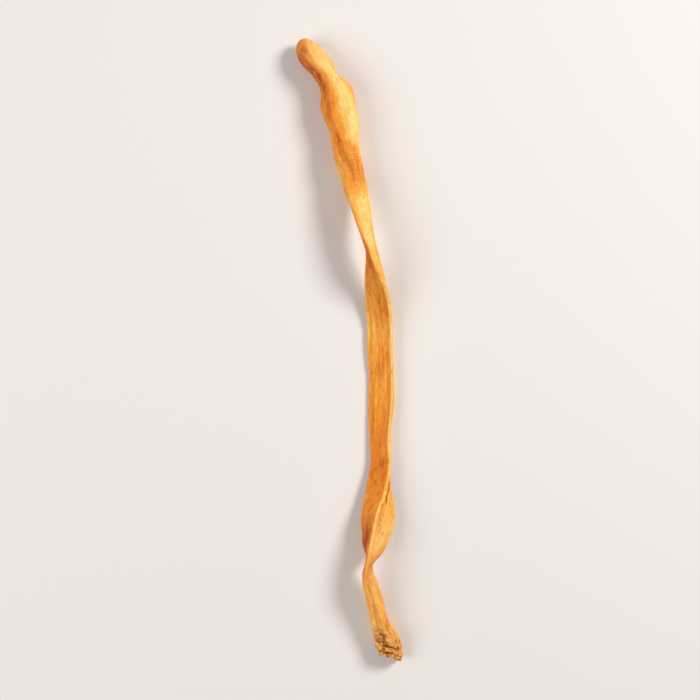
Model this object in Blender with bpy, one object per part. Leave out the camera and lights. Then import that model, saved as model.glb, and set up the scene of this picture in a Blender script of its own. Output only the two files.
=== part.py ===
"""Dried cordyceps: one fruiting body, lying on the surface z = 0 with its tip towards +Y.

A swollen club narrows to a pale neck. There the flesh turns on edge and rolls over into a flat
ribbon, which folds back up into a flap, pinches to a waist and ends in a stem with a torn base.
It is one grown piece, so it is one closed solid: a loft through sections that change all the way
down. The origin is under the middle of the object, on the surface that it rests on.
"""

import math

import bmesh
import bpy
import numpy as np

MILLIMETRE = 0.001

# Driving dimensions, in millimetres: the whole length, the dome at the tip, the stretch where
# sections are nearly oval, the stretch where rings begin to slant, and how far they slant.
LENGTH = 91.4
TIP_CAP = 1.2
TIP_OVAL = 5
TORN_LENGTH = 5
BASE_SLANT = 0.8

# The shoulder swells at the right edge only: the face beside it follows an average of that edge
# over this far on either side.
EASE = 1.8
EASE_SAMPLES = 9

# The grid of the loft: FIRST_TURN is the angle of the first ring on the dome.
RING_SPACING = 0.8
TIP_RINGS = 6
FIRST_TURN = 0.25
COLUMNS = 32
CORNER_PULL = 0.45
BASE_ROUNDING = 0.9

# The outline from above: distance down from the tip, and place to the right of the middle line.
LEFT_EDGE = (
    (0.0, -7.7), (0.6, -7.72), (1.2, -7.78), (2.1, -7.8), (2.9, -7.55), (3.8, -7.0), (5.3, -5.55),
    (7.0, -4.4), (8.3, -4.1), (10.0, -4.2), (11.8, -3.6), (13.9, -2.8), (16.5, -2.35),
    (18.8, -1.85), (20.9, -1.1), (23.0, -0.6), (24.8, 0.15), (27.4, 1.05), (30.1, 2.05),
    (31.5, 2.5), (32.8, 2.5), (34.2, 2.4), (38.0, 2.4), (42.0, 2.65), (46.0, 2.75), (48.0, 2.9),
    (56.5, 2.95), (59.6, 3.1), (62.0, 3.25), (64.6, 2.85), (67.1, 2.4), (69.4, 1.9), (70.8, 1.75),
    (72.8, 1.95), (74.3, 1.95), (76.0, 2.45), (77.0, 2.4), (78.3, 1.95), (80.0, 2.0), (82.1, 2.45),
    (84.4, 2.8), (87.4, 3.5), (89.0, 3.85), (91.4, 4.65),
)
RIGHT_EDGE = (
    (0.0, -5.1), (0.6, -4.65), (1.2, -4.1), (2.2, -3.25), (3.3, -2.55), (4.3, -2.15), (5.3, -1.85),
    (5.9, -1.45), (6.2, -0.65), (6.7, 0.0), (7.5, 0.5), (9.0, 0.9), (11.2, 1.25), (13.5, 1.55),
    (15.2, 1.45), (16.8, 1.75), (19.6, 2.1), (20.9, 2.35), (22.3, 2.75), (25.2, 3.2), (28.3, 3.5),
    (30.0, 3.8), (32.3, 4.45), (35.3, 5.25), (38.7, 6.05), (42.1, 6.4), (46.0, 6.5), (49.0, 6.6),
    (53.1, 6.7), (55.2, 6.45), (58.8, 6.05), (61.6, 6.15), (63.9, 6.05), (66.2, 6.15), (68.0, 6.5),
    (69.7, 6.8), (71.5, 6.6), (73.7, 5.85), (75.7, 4.85), (77.2, 3.55), (78.3, 3.55), (79.9, 4.2),
    (82.2, 4.95), (84.3, 5.45), (86.2, 6.2), (88.0, 7.3), (89.4, 7.8), (90.4, 7.7), (91.4, 7.8),
)

# The ridge between the orange face, on its left, and the pale face, on its right.
RIDGE = (
    (0.0, -6.5), (2.0, -6.3), (5.1, -4.6), (8.1, -2.9), (11.1, -2.5), (14.1, -1.7), (17.1, -1.2),
    (20.1, -0.5), (23.1, 0.1), (26.1, 0.95), (29.1, 2.0), (30.7, 2.75), (32.0, 3.15), (33.9, 3.95),
    (36.0, 4.95), (38.1, 5.65), (41.1, 6.1), (46.0, 6.25), (50.0, 6.35), (55.0, 6.2), (58.8, 5.85),
    (62.7, 5.95), (64.5, 5.8), (66.3, 5.45), (67.6, 5.0), (68.4, 4.65), (70.1, 4.1), (72.8, 3.5),
    (75.1, 3.0), (77.2, 2.65), (79.0, 2.5), (82.0, 3.1), (86.0, 4.0), (91.4, 5.4),
)

# Heights above the surface. The underside is drawn a little below it where the flesh has
# settled flat: the club, the middle of the ribbon and the base.
UNDERSIDE = (
    (0.0, 1.1), (2.0, 0.5), (4.5, -0.1), (8.0, -0.25), (15.0, -0.25), (17.5, -0.05), (20.0, 0.5),
    (24.0, 1.6), (28.0, 2.5), (31.5, 2.8), (35.0, 2.2), (38.0, 1.2), (41.0, 0.3), (44.0, -0.15),
    (48.0, -0.2), (58.0, -0.2), (61.0, 0.0), (65.0, 0.6), (69.0, 1.3), (73.0, 1.9), (77.0, 2.0),
    (81.0, 1.4), (84.0, 0.6), (87.0, -0.1), (91.4, -0.2),
)
RIDGE_HEIGHT = (
    (0.0, 2.6), (2.0, 3.3), (4.5, 3.9), (8.0, 4.2), (12.0, 4.3), (16.0, 4.4), (20.0, 4.6),
    (24.0, 5.1), (28.0, 5.5), (31.5, 5.7), (34.0, 5.2), (36.5, 4.1), (39.0, 2.9), (42.0, 2.0),
    (45.0, 1.6), (50.0, 1.45), (58.0, 1.45), (62.0, 1.65), (65.0, 2.2), (68.0, 3.0), (71.0, 3.8),
    (74.0, 4.4), (77.0, 4.6), (80.0, 4.3), (84.0, 3.5), (88.0, 2.9), (91.4, 2.7),
)
LEFT_HEIGHT = (
    (0.0, 1.9), (4.5, 1.9), (8.0, 1.9), (16.0, 2.0), (20.0, 2.4), (24.0, 3.2), (28.0, 3.9),
    (31.5, 4.0), (33.5, 3.3), (36.0, 2.5), (39.0, 1.45), (42.0, 0.75), (46.0, 0.6), (58.0, 0.6),
    (62.0, 0.8), (65.0, 1.2), (68.0, 1.7), (71.0, 2.2), (74.0, 2.9), (77.0, 3.3), (80.0, 2.9),
    (84.0, 2.0), (88.0, 1.4), (91.4, 1.3),
)
RIGHT_HEIGHT = (
    (0.0, 1.9), (4.5, 2.1), (8.0, 2.2), (16.0, 2.3), (20.0, 2.6), (24.0, 3.3), (28.0, 3.9),
    (31.5, 4.1), (34.0, 3.7), (36.0, 2.9), (39.0, 1.8), (42.0, 1.1), (46.0, 0.85), (58.0, 0.85),
    (62.0, 0.9), (65.0, 1.3), (68.0, 1.7), (70.0, 2.0), (73.0, 2.5), (75.0, 3.0), (77.0, 3.4),
    (80.0, 3.0), (84.0, 2.1), (88.0, 1.5), (91.4, 1.4),
)

# How far the middle of each face stands out from a straight line between its edges, and how
# far the middle of the underside is drawn up.
ORANGE_SWELL = (
    (0.0, 0.2), (8.0, 0.45), (16.0, 0.4), (24.0, 0.2), (31.5, 0.1), (36.0, 0.0), (42.0, -0.05),
    (60.0, 0.0), (66.0, 0.1), (72.0, 0.15), (78.0, 0.25), (91.4, 0.3),
)
PALE_SWELL = (
    (0.0, 0.4), (4.5, 0.7), (8.0, 1.0), (16.0, 0.9), (22.0, 0.6), (28.0, 0.4), (34.0, 0.25),
    (40.0, 0.1), (62.0, 0.05), (65.5, -0.15), (68.0, 0.0), (72.0, 0.25), (77.0, 0.3), (84.0, 0.5),
    (91.4, 0.6),
)
UNDERSIDE_HOLLOW = (
    (0.0, 0.0), (26.0, 0.0), (34.0, 0.4), (38.0, 0.5), (44.0, 0.0), (62.0, 0.0), (68.0, 0.8),
    (73.0, 0.9), (78.0, 0.2), (82.0, 0.0), (91.4, 0.0),
)
# How far in from each edge the underside begins, as a share of the width.
UNDERSIDE_INSET = ((0.0, 0.22), (24.0, 0.25), (40.0, 0.12), (62.0, 0.1), (72.0, 0.14), (91.4, 0.2))

FLESH_COLOUR = (0.86, 0.32, 0.055, 1.0)
FLESH_ROUGHNESS = 0.72


def along(line, distance):
    """A smooth curve through a line's (distance, value) points, read at each distance."""
    places, values = np.array(line).T
    slopes = np.gradient(values, places)
    i = np.clip(np.searchsorted(places, distance, side="right") - 1, 0, len(places) - 2)
    step = places[i + 1] - places[i]
    t = (distance - places[i]) / step
    start = (2 * t**3 - 3 * t**2 + 1) * values[i] + (t**3 - 2 * t**2 + t) * step * slopes[i]
    end = (3 * t**2 - 2 * t**3) * values[i + 1] + (t**3 - t**2) * step * slopes[i + 1]
    return start + end


def ring_distances():
    """Distances down from the tip of every ring: close together round the tip's dome, then even."""
    dome = TIP_CAP * (1 - np.cos(np.linspace(FIRST_TURN, math.pi / 2, TIP_RINGS)))
    count = round((LENGTH - TIP_CAP) / RING_SPACING)
    return np.concatenate([dome, np.linspace(TIP_CAP, LENGTH, count + 1)[1:]])


def eased(line, distance):
    """A line's curve averaged over the stretch of strand round each distance."""
    shifts = np.linspace(-EASE, EASE, EASE_SAMPLES)[:, None]
    return along(line, np.clip(distance + shifts, 0, LENGTH)).mean(0)


def section_corners(distance):
    """The eight control points (x, z) of each ring's section, clockwise as seen from the base."""
    left, right = along(LEFT_EDGE, distance), along(RIGHT_EDGE, distance)
    ridge, ridge_z = along(RIDGE, distance), along(RIDGE_HEIGHT, distance)
    left_z, right_z = along(LEFT_HEIGHT, distance), along(RIGHT_HEIGHT, distance)
    under_z = along(UNDERSIDE, distance)
    inset = along(UNDERSIDE_INSET, distance) * (right - left)
    orange = face_middle(left, left_z, ridge, ridge_z, along(ORANGE_SWELL, distance))
    beside = eased(RIGHT_EDGE, distance)
    pale = face_middle(ridge, ridge_z, beside, right_z, along(PALE_SWELL, distance))
    hollow = along(UNDERSIDE_HOLLOW, distance)
    corners = [
        (left, left_z), orange, (ridge, ridge_z), pale, (right, right_z),
        (right - inset, under_z), ((left + right) / 2, under_z + hollow), (left + inset, under_z),
    ]
    return np.array(corners).transpose(2, 0, 1)


def face_middle(x0, z0, x1, z1, swell):
    """The middle of the line between two edges, moved outwards by swell."""
    length = np.hypot(x1 - x0, z1 - z0)
    return (x0 + x1) / 2 - (z1 - z0) / length * swell, (z0 + z1) / 2 + (x1 - x0) / length * swell


def rounded(corners, columns):
    """A closed cubic B-spline round each ring's control points, fitted to their box."""
    count = corners.shape[1]
    neighbours = (np.roll(corners, 1, axis=1) + np.roll(corners, -1, axis=1)) / 2
    pulled = corners + CORNER_PULL * (corners - neighbours)
    place = np.arange(columns) * count / columns
    i = place.astype(int)
    t = (place - i)[None, :, None]
    before, here, after, last = (pulled[:, (i + k) % count] for k in (-1, 0, 1, 2))
    ring = (1 - t) ** 3 * before + (3 * t**3 - 6 * t**2 + 4) * here
    ring = (ring + (-3 * t**3 + 3 * t**2 + 3 * t + 1) * after + t**3 * last) / 6
    low, high = ring.min(1, keepdims=True), ring.max(1, keepdims=True)
    box_low, box_high = corners.min(1, keepdims=True), corners.max(1, keepdims=True)
    return box_low + (ring - low) / (high - low) * (box_high - box_low)


def oval(rings, share):
    """Draws each ring towards the oval that fills its box, by its share."""
    low, high = rings.min(1, keepdims=True), rings.max(1, keepdims=True)
    centre, half = (low + high) / 2, (high - low) / 2
    reach = (rings - centre) / half
    reach /= np.linalg.norm(reach, axis=2, keepdims=True)
    return rings + share[:, None, None] * (centre + reach * half - rings)


def ring_points():
    """Every ring's points in metres, from the tip to the base, as an array (ring, column, xyz)."""
    distance = ring_distances()
    rings = rounded(section_corners(distance), COLUMNS)
    rings = oval(rings, np.clip(1 - distance / TIP_OVAL, 0, 1))
    centre = (rings.min(1, keepdims=True) + rings.max(1, keepdims=True)) / 2
    dome = np.sqrt(1 - (1 - np.minimum(distance / TIP_CAP, 1)) ** 2)
    dome[-1] = BASE_ROUNDING
    rings = centre + (rings - centre) * dome[:, None, None]
    x = rings[:, :, 0]
    across = (x - centre[:, :, 0]) / np.ptp(x, axis=1)[:, None]
    torn = np.clip((distance - (LENGTH - TORN_LENGTH)) / TORN_LENGTH, 0, 1)
    slant = BASE_SLANT * torn[:, None] * (0.5 - across)
    y = LENGTH / 2 - distance[:, None] + slant
    z = np.maximum(rings[:, :, 1], 0)
    points = np.stack([x, y, z], axis=-1)
    points[:, :, :2] -= (points.min((0, 1)) + points.max((0, 1)))[:2] / 2
    return points * MILLIMETRE


def loft(name, points):
    """A closed mesh object through the rings, capped at both ends."""
    form = bmesh.new()
    rings = [[form.verts.new(point) for point in ring] for ring in points]
    for upper, lower in zip(rings, rings[1:]):
        for i in range(len(upper)):
            j = (i + 1) % len(upper)
            form.faces.new((upper[i], upper[j], lower[j], lower[i]))
    form.faces.new(reversed(rings[0]))
    form.faces.new(rings[-1])
    bmesh.ops.recalc_face_normals(form, faces=form.faces)
    mesh = bpy.data.meshes.new(name)
    form.to_mesh(mesh)
    form.free()
    mesh.shade_smooth()
    return bpy.data.objects.new(name, mesh)


def flesh_material():
    """Dry orange flesh."""
    material = bpy.data.materials.new("dried_flesh")
    material.use_nodes = True
    surface = material.node_tree.nodes["Principled BSDF"]
    surface.inputs["Base Color"].default_value = FLESH_COLOUR
    surface.inputs["Roughness"].default_value = FLESH_ROUGHNESS
    surface.inputs["Metallic"].default_value = 0.0
    material.diffuse_color = FLESH_COLOUR
    return material


def main():
    for thing in list(bpy.data.objects):
        bpy.data.objects.remove(thing)
    collection = bpy.data.collections.new("dried_cordyceps")
    bpy.context.scene.collection.children.link(collection)
    body = loft("fruiting_body", ring_points())
    body.data.materials.append(flesh_material())
    collection.objects.link(body)


main()
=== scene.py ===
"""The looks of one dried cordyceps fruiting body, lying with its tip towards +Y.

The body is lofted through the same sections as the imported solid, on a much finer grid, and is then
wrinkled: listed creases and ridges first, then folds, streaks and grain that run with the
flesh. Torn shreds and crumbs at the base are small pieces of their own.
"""

import math

import bmesh
import bpy
import numpy as np
from mathutils import Euler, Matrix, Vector, noise


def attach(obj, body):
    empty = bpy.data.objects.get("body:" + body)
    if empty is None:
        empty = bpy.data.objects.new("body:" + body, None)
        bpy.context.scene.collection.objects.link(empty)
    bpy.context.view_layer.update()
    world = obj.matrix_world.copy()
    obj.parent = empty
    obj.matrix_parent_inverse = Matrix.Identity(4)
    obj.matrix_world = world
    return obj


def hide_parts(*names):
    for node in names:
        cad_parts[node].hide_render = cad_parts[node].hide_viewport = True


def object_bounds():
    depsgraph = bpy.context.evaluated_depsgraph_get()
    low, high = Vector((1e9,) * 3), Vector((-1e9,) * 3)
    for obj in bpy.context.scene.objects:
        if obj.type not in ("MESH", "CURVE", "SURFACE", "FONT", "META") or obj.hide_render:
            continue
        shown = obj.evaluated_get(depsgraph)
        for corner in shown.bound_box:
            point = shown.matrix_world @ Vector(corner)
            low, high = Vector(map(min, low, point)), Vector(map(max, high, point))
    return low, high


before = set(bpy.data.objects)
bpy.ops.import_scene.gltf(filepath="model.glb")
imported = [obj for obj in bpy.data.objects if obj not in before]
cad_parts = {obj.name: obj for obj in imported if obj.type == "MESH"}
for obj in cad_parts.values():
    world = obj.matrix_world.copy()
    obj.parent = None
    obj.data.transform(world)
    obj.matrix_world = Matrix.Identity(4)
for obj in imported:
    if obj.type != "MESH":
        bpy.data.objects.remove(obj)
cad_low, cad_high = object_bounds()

MILLIMETRE = 0.001

# The form, in millimetres, as the solid has it
LENGTH = 91.4
TIP_CAP = 1.2
TIP_OVAL = 5
EASE, EASE_SAMPLES = 1.8, 9
BASE_SLANT = 0.8
TORN_LENGTH = 5
END_HOLLOW = 0.9
SHOULDER, SHOULDER_REACH, SHOULDER_LEAN = 6.2, 1.3, 0.4
CORNER_PULL = 0.45
RAGGED_LENGTH = 2.2

# The grid of the fine mesh
COLUMNS = 152
BODY_RINGS = 596
TIP_RINGS = 22
FIRST_TURN = 0.05
TORN_RINGS = 16
SECTION_SAMPLES = 256
UV_STRIPS = 2
UV_MARGIN = 0.02

# How much of the picture's height the strand fills
SHARE_OF_PICTURE = 0.89

# The outline from above: distance down from the tip, and place to the right of the middle line.
LEFT_EDGE = (
    (0, -7.7), (0.6, -7.72), (1.2, -7.78), (2.1, -7.8), (2.9, -7.55), (3.8, -7.0), (5.3, -5.55),
    (7, -4.4), (8.3, -4.1), (10, -4.2), (11.8, -3.6), (13.9, -2.8), (16.5, -2.35),
    (18.8, -1.85), (20.9, -1.1), (23, -0.6), (24.8, 0.15), (27.4, 1.05), (30.1, 2.05),
    (31.5, 2.5), (32.8, 2.5), (34.2, 2.4), (38, 2.4), (42, 2.65), (46, 2.75), (48, 2.9),
    (56.5, 2.95), (59.6, 3.1), (62, 3.25), (64.6, 2.85), (67.1, 2.4), (69.4, 1.9), (70.8, 1.75),
    (72.8, 1.95), (74.3, 1.95), (76, 2.45), (77, 2.4), (78.3, 1.95), (80, 2.0), (82.1, 2.45),
    (84.4, 2.8), (87.4, 3.5), (89, 3.85), (91.4, 4.65),
)
RIGHT_EDGE = (
    (0, -5.1), (0.6, -4.65), (1.2, -4.1), (2.2, -3.25), (3.3, -2.55), (4.3, -2.15), (5.3, -1.85),
    (5.9, -1.45), (6.2, -0.65), (6.7, 0.0), (7.5, 0.5), (9, 0.9), (11.2, 1.25), (13.5, 1.55),
    (15.2, 1.45), (16.8, 1.75), (19.6, 2.1), (20.9, 2.35), (22.3, 2.75), (25.2, 3.2), (28.3, 3.5),
    (30, 3.8), (32.3, 4.45), (35.3, 5.25), (38.7, 6.05), (42.1, 6.4), (46, 6.5), (49, 6.6),
    (53.1, 6.7), (55.2, 6.45), (58.8, 6.05), (61.6, 6.15), (63.9, 6.05), (66.2, 6.15), (68, 6.5),
    (69.7, 6.8), (71.5, 6.6), (73.7, 5.85), (75.7, 4.85), (77.2, 3.55), (78.3, 3.55), (79.9, 4.2),
    (82.2, 4.95), (84.3, 5.45), (86.2, 6.2), (88, 7.3), (89.4, 7.8), (90.4, 7.7), (91.4, 7.8),
)

# The ridge between the orange face, on its left, and the pale face, on its right.
RIDGE = (
    (0, -6.5), (2, -6.3), (5.1, -4.6), (8.1, -2.9), (11.1, -2.5), (14.1, -1.7), (17.1, -1.2),
    (20.1, -0.5), (23.1, 0.1), (26.1, 0.95), (29.1, 2.0), (30.7, 2.75), (32, 3.15), (33.9, 3.95),
    (36, 4.95), (38.1, 5.65), (41.1, 6.1), (46, 6.25), (50, 6.35), (55, 6.2), (58.8, 5.85),
    (62.7, 5.95), (64.5, 5.8), (66.3, 5.45), (67.6, 5.0), (68.4, 4.65), (70.1, 4.1), (72.8, 3.5),
    (75.1, 3.0), (77.2, 2.65), (79, 2.5), (82, 3.1), (86, 4.0), (91.4, 5.4),
)

# Heights above the surface; the underside is drawn a little below it where the flesh lies flat.
UNDERSIDE = (
    (0, 1.1), (2, 0.5), (4.5, -0.1), (8, -0.25), (15, -0.25), (17.5, -0.05), (20, 0.5),
    (24, 1.6), (28, 2.5), (31.5, 2.8), (35, 2.2), (38, 1.2), (41, 0.3), (44, -0.15),
    (48, -0.2), (58, -0.2), (61, 0.0), (65, 0.6), (69, 1.3), (73, 1.9), (77, 2.0),
    (81, 1.4), (84, 0.6), (87, -0.1), (91.4, -0.2),
)
RIDGE_HEIGHT = (
    (0, 2.6), (2, 3.3), (4.5, 3.9), (8, 4.2), (12, 4.3), (16, 4.4), (20, 4.6),
    (24, 5.1), (28, 5.5), (31.5, 5.7), (34, 5.2), (36.5, 4.1), (39, 2.9), (42, 2.0),
    (45, 1.6), (50, 1.45), (58, 1.45), (62, 1.65), (65, 2.2), (68, 3.0), (71, 3.8),
    (74, 4.4), (77, 4.6), (80, 4.3), (84, 3.5), (88, 2.9), (91.4, 2.7),
)
LEFT_HEIGHT = (
    (0, 1.9), (4.5, 1.9), (8, 1.9), (16, 2.0), (20, 2.4), (24, 3.2), (28, 3.9),
    (31.5, 4.0), (33.5, 3.3), (36, 2.5), (39, 1.45), (42, 0.75), (46, 0.6), (58, 0.6),
    (62, 0.8), (65, 1.2), (68, 1.7), (71, 2.2), (74, 2.9), (77, 3.3), (80, 2.9),
    (84, 2.0), (88, 1.4), (91.4, 1.3),
)
RIGHT_HEIGHT = (
    (0, 1.9), (4.5, 2.1), (8, 2.2), (16, 2.3), (20, 2.6), (24, 3.3), (28, 3.9),
    (31.5, 4.1), (34, 3.7), (36, 2.9), (39, 1.8), (42, 1.1), (46, 0.85), (58, 0.85),
    (62, 0.9), (65, 1.3), (68, 1.7), (70, 2.0), (73, 2.5), (75, 3.0), (77, 3.4),
    (80, 3.0), (84, 2.1), (88, 1.5), (91.4, 1.4),
)

# How far the middle of each face swells, and how far the underside's middle is drawn up.
ORANGE_SWELL = (
    (0, 0.2), (8, 0.45), (16, 0.4), (24, 0.2), (31.5, 0.1), (36, 0.0), (42, -0.05),
    (60, 0.0), (66, 0.1), (72, 0.15), (78, 0.25), (91.4, 0.3),
)
PALE_SWELL = (
    (0, 0.4), (4.5, 0.7), (8, 1.0), (16, 0.9), (22, 0.6), (28, 0.4), (34, 0.25),
    (40, 0.1), (62, 0.05), (65.5, -0.15), (68, 0.0), (72, 0.25), (77, 0.3), (84, 0.5),
    (91.4, 0.6),
)
UNDERSIDE_HOLLOW = (
    (0, 0.0), (26, 0.0), (34, 0.4), (38, 0.5), (44, 0.0), (62, 0.0), (68, 0.8),
    (73, 0.9), (78, 0.2), (82, 0.0), (91.4, 0.0),
)
UNDERSIDE_INSET = ((0, 0.22), (24, 0.25), (40, 0.12), (62, 0.1), (72, 0.14), (91.4, 0.2))

# Places round a section: 0 at the ridge, 1 in the middle of the pale face, 2 at the right edge,
# 4 in the middle of the underside, 6 at the left edge, 7 in the middle of the orange face.
PLACES = 8
RIGHT_PLACE, UNDER_PLACE, LEFT_PLACE, ORANGE_PLACE = 2, 4, 6, 7

# Raised rims that run down the strand: place round the section, half-width, and height along it.
RIMS = (
    (0, 0.21, (
        (0, 0.0), (28, 0.0), (33, 0.12), (40, 0.22), (62, 0.22), (66, 0.16),
        (72, 0.14), (77, 0.05), (80, 0.0), (91.4, 0.0),
    )),
    (RIGHT_PLACE, 0.3, (
        (0, 0.0), (16, 0.04), (21, 0.12), (31, 0.1), (36, 0.05), (64, 0.05),
        (74, 0.1), (77, 0.0), (91.4, 0.0),
    )),
    (LEFT_PLACE, 0.18, (
        (0, 0.0), (15, 0.03), (19, 0.1), (25, 0.06), (31, 0.03), (38, 0.07),
        (60, 0.06), (66, 0.05), (73, 0.05), (76, 0.0), (91.4, 0.0),
    )),
)
PALE_RIM = 0.2

# Creases (height below 0) and raised lines seen from above: a path of (distance down from the
# tip, place to the right), half-width, height, and how far its ends fade, millimetres.
LINES = (
    (((6.1, -1.4), (7.1, -1.8), (9.1, -1.8), (13.1, -1.3), (17.5, -0.9)), 0.42, -0.1, 1.5),
    (((7, -3.6), (9.5, -3.5), (12.5, -2.9)), 0.6, -0.1, 1.5),
    (((13.5, -2.45), (14.4, -1.9), (15.2, -1.3), (15.6, -0.6), (15.8, 0.2)), 0.13, -0.13, 0.5),
    (((14.7, -0.2), (15.7, 0.2), (16.5, 1.0)), 0.12, -0.09, 0.6),
    (((15.8, -1.7), (17.2, -1.3), (18.6, -0.8)), 0.13, -0.11, 0.8),
    (((16.2, -0.9), (17.6, -0.4), (19, 0.1)), 0.16, -0.06, 0.8),
    (((18, -0.5), (20.5, 0.6), (22.5, 1.2)), 0.2, -0.05, 1.0),
    (((17.2, 0.6), (18.6, 1.1), (20.4, 1.5)), 0.14, -0.07, 0.8),
    (((10.5, -0.6), (12.4, -0.3), (14, -0.4)), 0.2, -0.05, 0.8),
    (((8.2, 0.1), (10, 0.35), (12, 0.6)), 0.25, 0.06, 0.8),
    (((5.6, -1.9), (6.3, -1.4), (7, -0.9)), 0.25, -0.1, 0.6),
    (((36.5, 4.3), (40, 5.2), (44, 5.55), (49, 5.65), (54, 5.5)), 0.15, -0.08, 2.0),
    (((36, 3.5), (41, 3.6), (47, 3.5), (51, 3.6)), 0.18, 0.07, 2.0),
    (((38, 4.4), (41, 4.75), (44, 4.85), (50, 5.0)), 0.14, -0.1, 2.0),
    (((40, 3.0), (46, 3.05), (53, 3.2)), 0.12, -0.05, 2.0),
    (((65, 5.35), (66.8, 5.12), (68.1, 4.85)), 0.14, 0.1, 0.8),
    (((64.2, 6.05), (66.5, 5.95), (68.5, 5.75)), 0.16, 0.12, 1.2),
    (((67.8, 5.1), (69.5, 4.8), (72, 4.3), (74.6, 3.8)), 0.3, -0.13, 1.5),
    (((79.5, 2.4), (82.7, 3.1), (85.3, 3.35), (88, 3.9)), 0.25, 0.07, 1.0),
    (((80.5, 2.8), (82.7, 3.6), (85.3, 3.85), (87.3, 4.35)), 0.2, -0.13, 0.8),
    (((80.5, 3.5), (83.5, 4.3), (87, 5.2)), 0.3, 0.06, 1.0),
    (((86.3, 5.3), (87.5, 5.75), (88.6, 6.25), (89.5, 6.7)), 0.18, -0.13, 0.8),
)

# Open slits, dark inside with painted shade: the same, with the depth of the cut.
SLITS = (
    (((65.2, 6.02), (66, 5.82), (66.6, 5.78), (67.2, 5.56), (68.3, 5.46)), 0.085, 0.6, 0.4),
)

# Dents (height below 0) and swellings seen from above: distance down from the tip, place to
# the right, reach along the strand, reach across it, height.
SPOTS = (
    (2.1, -6.4, 0.5, 0.3, -0.1), (9.2, -2.2, 1.3, 0.35, -0.06), (17.6, -0.3, 1.5, 0.7, -0.06),
    (19.6, 0.5, 1.1, 0.5, -0.06), (18.3, 1.0, 1.0, 0.3, 0.06), (12.0, 0.4, 2.5, 0.7, 0.1),
    (49.0, 4.4, 1.2, 0.8, -0.05), (62.2, 4.0, 0.9, 0.8, 0.03), (71.0, 5.4, 2.0, 0.7, 0.08),
    (87.3, 4.7, 0.22, 0.45, 0.06), (87.75, 4.9, 0.14, 0.5, -0.08), (88.0, 6.4, 1.5, 0.6, 0.3),
    (86.2, 5.7, 0.9, 0.3, -0.12), (89.7, 5.0, 0.16, 0.4, -0.4), (89.85, 5.7, 0.12, 0.4, -0.45),
    (89.8, 6.4, 0.15, 0.4, -0.5), (90.05, 7.0, 0.14, 0.3, -0.35), (90.4, 6.1, 0.25, 1.2, 0.3),
    (88.8, 5.6, 0.3, 0.6, 0.18), (89.2, 4.3, 0.25, 0.2, -0.2), (90.85, 5.8, 0.22, 1.0, -0.4),
    (87.2, 4.3, 0.2, 0.14, -0.16), (87.7, 4.55, 0.24, 0.12, -0.2), (88.0, 5.1, 0.2, 0.16, -0.16),
    (88.5, 4.45, 0.16, 0.16, -0.2), (88.7, 5.1, 0.22, 0.14, -0.2), (89.1, 5.5, 0.14, 0.2, -0.16),
)

# Speckled patches seen from above: the same first four numbers, then how thick the specks lie.
SPECKLED = (
    (71.0, 4.5, 2.4, 0.4, 0.8), (68.8, 5.1, 0.8, 0.3, 0.6), (73.6, 3.7, 1.6, 0.3, 0.6),
    (33.6, 4.2, 1.9, 0.6, 0.9), (30.8, 3.2, 1.2, 0.5, 0.5), (49.0, 4.5, 2.2, 1.4, 0.6),
    (18.3, 0.3, 2.4, 1.4, 0.85), (1.6, -5.8, 1.4, 1.3, 0.5), (88.4, 4.8, 2.0, 1.0, 0.8),
    (62.6, 4.2, 1.4, 1.2, 0.5), (24.0, 1.2, 2.0, 1.2, 0.5), (80.5, 3.0, 2.4, 0.8, 0.4),
)

# Stained patches seen from above, some of them painted shade: the same first four numbers, then how
# brown they are. Those at 68.6, 72.0 and 77.2 mm from the tip are painted shade, on the orange
# face beside the ridge and on the waist's right edge.
STAINS_AND_SHADE = (
    (18.2, 0.5, 2.2, 1.6, 0.5), (22.0, 0.8, 1.8, 1.2, 0.25), (19.7, 2.1, 1.8, 0.6, 0.9),
    (16.6, -0.7, 0.5, 0.35, 0.35), (17.4, 0.9, 0.6, 0.5, 0.45), (18.2, 1.5, 0.5, 0.35, 0.5),
    (16.9, -1.4, 0.9, 0.18, 0.4), (9.5, -3.4, 2.5, 0.7, 0.3), (83.0, 3.9, 1.5, 0.5, 0.35),
    (79.0, 2.2, 0.8, 0.5, 0.3), (2.0, -6.6, 0.8, 0.5, 0.4), (88.3, 4.7, 1.8, 1.0, 1.2),
    (87.9, 5.9, 1.4, 0.3, 0.6), (4.6, -5.4, 1.6, 0.6, 0.45), (77.2, 3.4, 0.9, 0.4, 0.5),
    (32.0, 2.6, 1.2, 0.4, 0.35), (74.4, 2.2, 1.6, 0.45, 0.3), (68.6, 3.9, 2.0, 0.4, 0.15),
    (72.0, 2.9, 2.0, 0.35, 0.15), (70.6, 4.6, 2.4, 0.35, 0.55), (80.0, 3.0, 1.5, 0.4, 0.25),
    (31.0, 3.75, 0.7, 0.25, 0.5),
)

# How dark the painted shade in a dent is for each millimetre of its depth, and in the middle of
# a slit. 1 is darkest.
DENT_DARKNESS, SLIT_DARKNESS = 2, 1.6

# Small pits scattered at random: how many, their radius, how many times as long as wide they
# are, their depth in radii, how dark they are, and how thickly they lie along the strand.
PIT_COUNT = 300
PIT_RADIUS = (0.07, 0.14)
PIT_STRETCH = (1, 2.2)
PIT_DEPTH = (0.3, 0.6)
PIT_DARKNESS = (0, 0.8)
PIT_DENSITY = (
    (0, 0.8), (4, 0.3), (14, 0.3), (18, 1.2), (22, 0.5), (28, 0.8), (32, 1.4),
    (44, 0.4), (49, 1.4), (54, 0.3), (66, 0.5), (70, 1.8), (74, 0.8), (82, 0.8),
    (87, 3.0), (91.4, 6.0),
)

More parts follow.
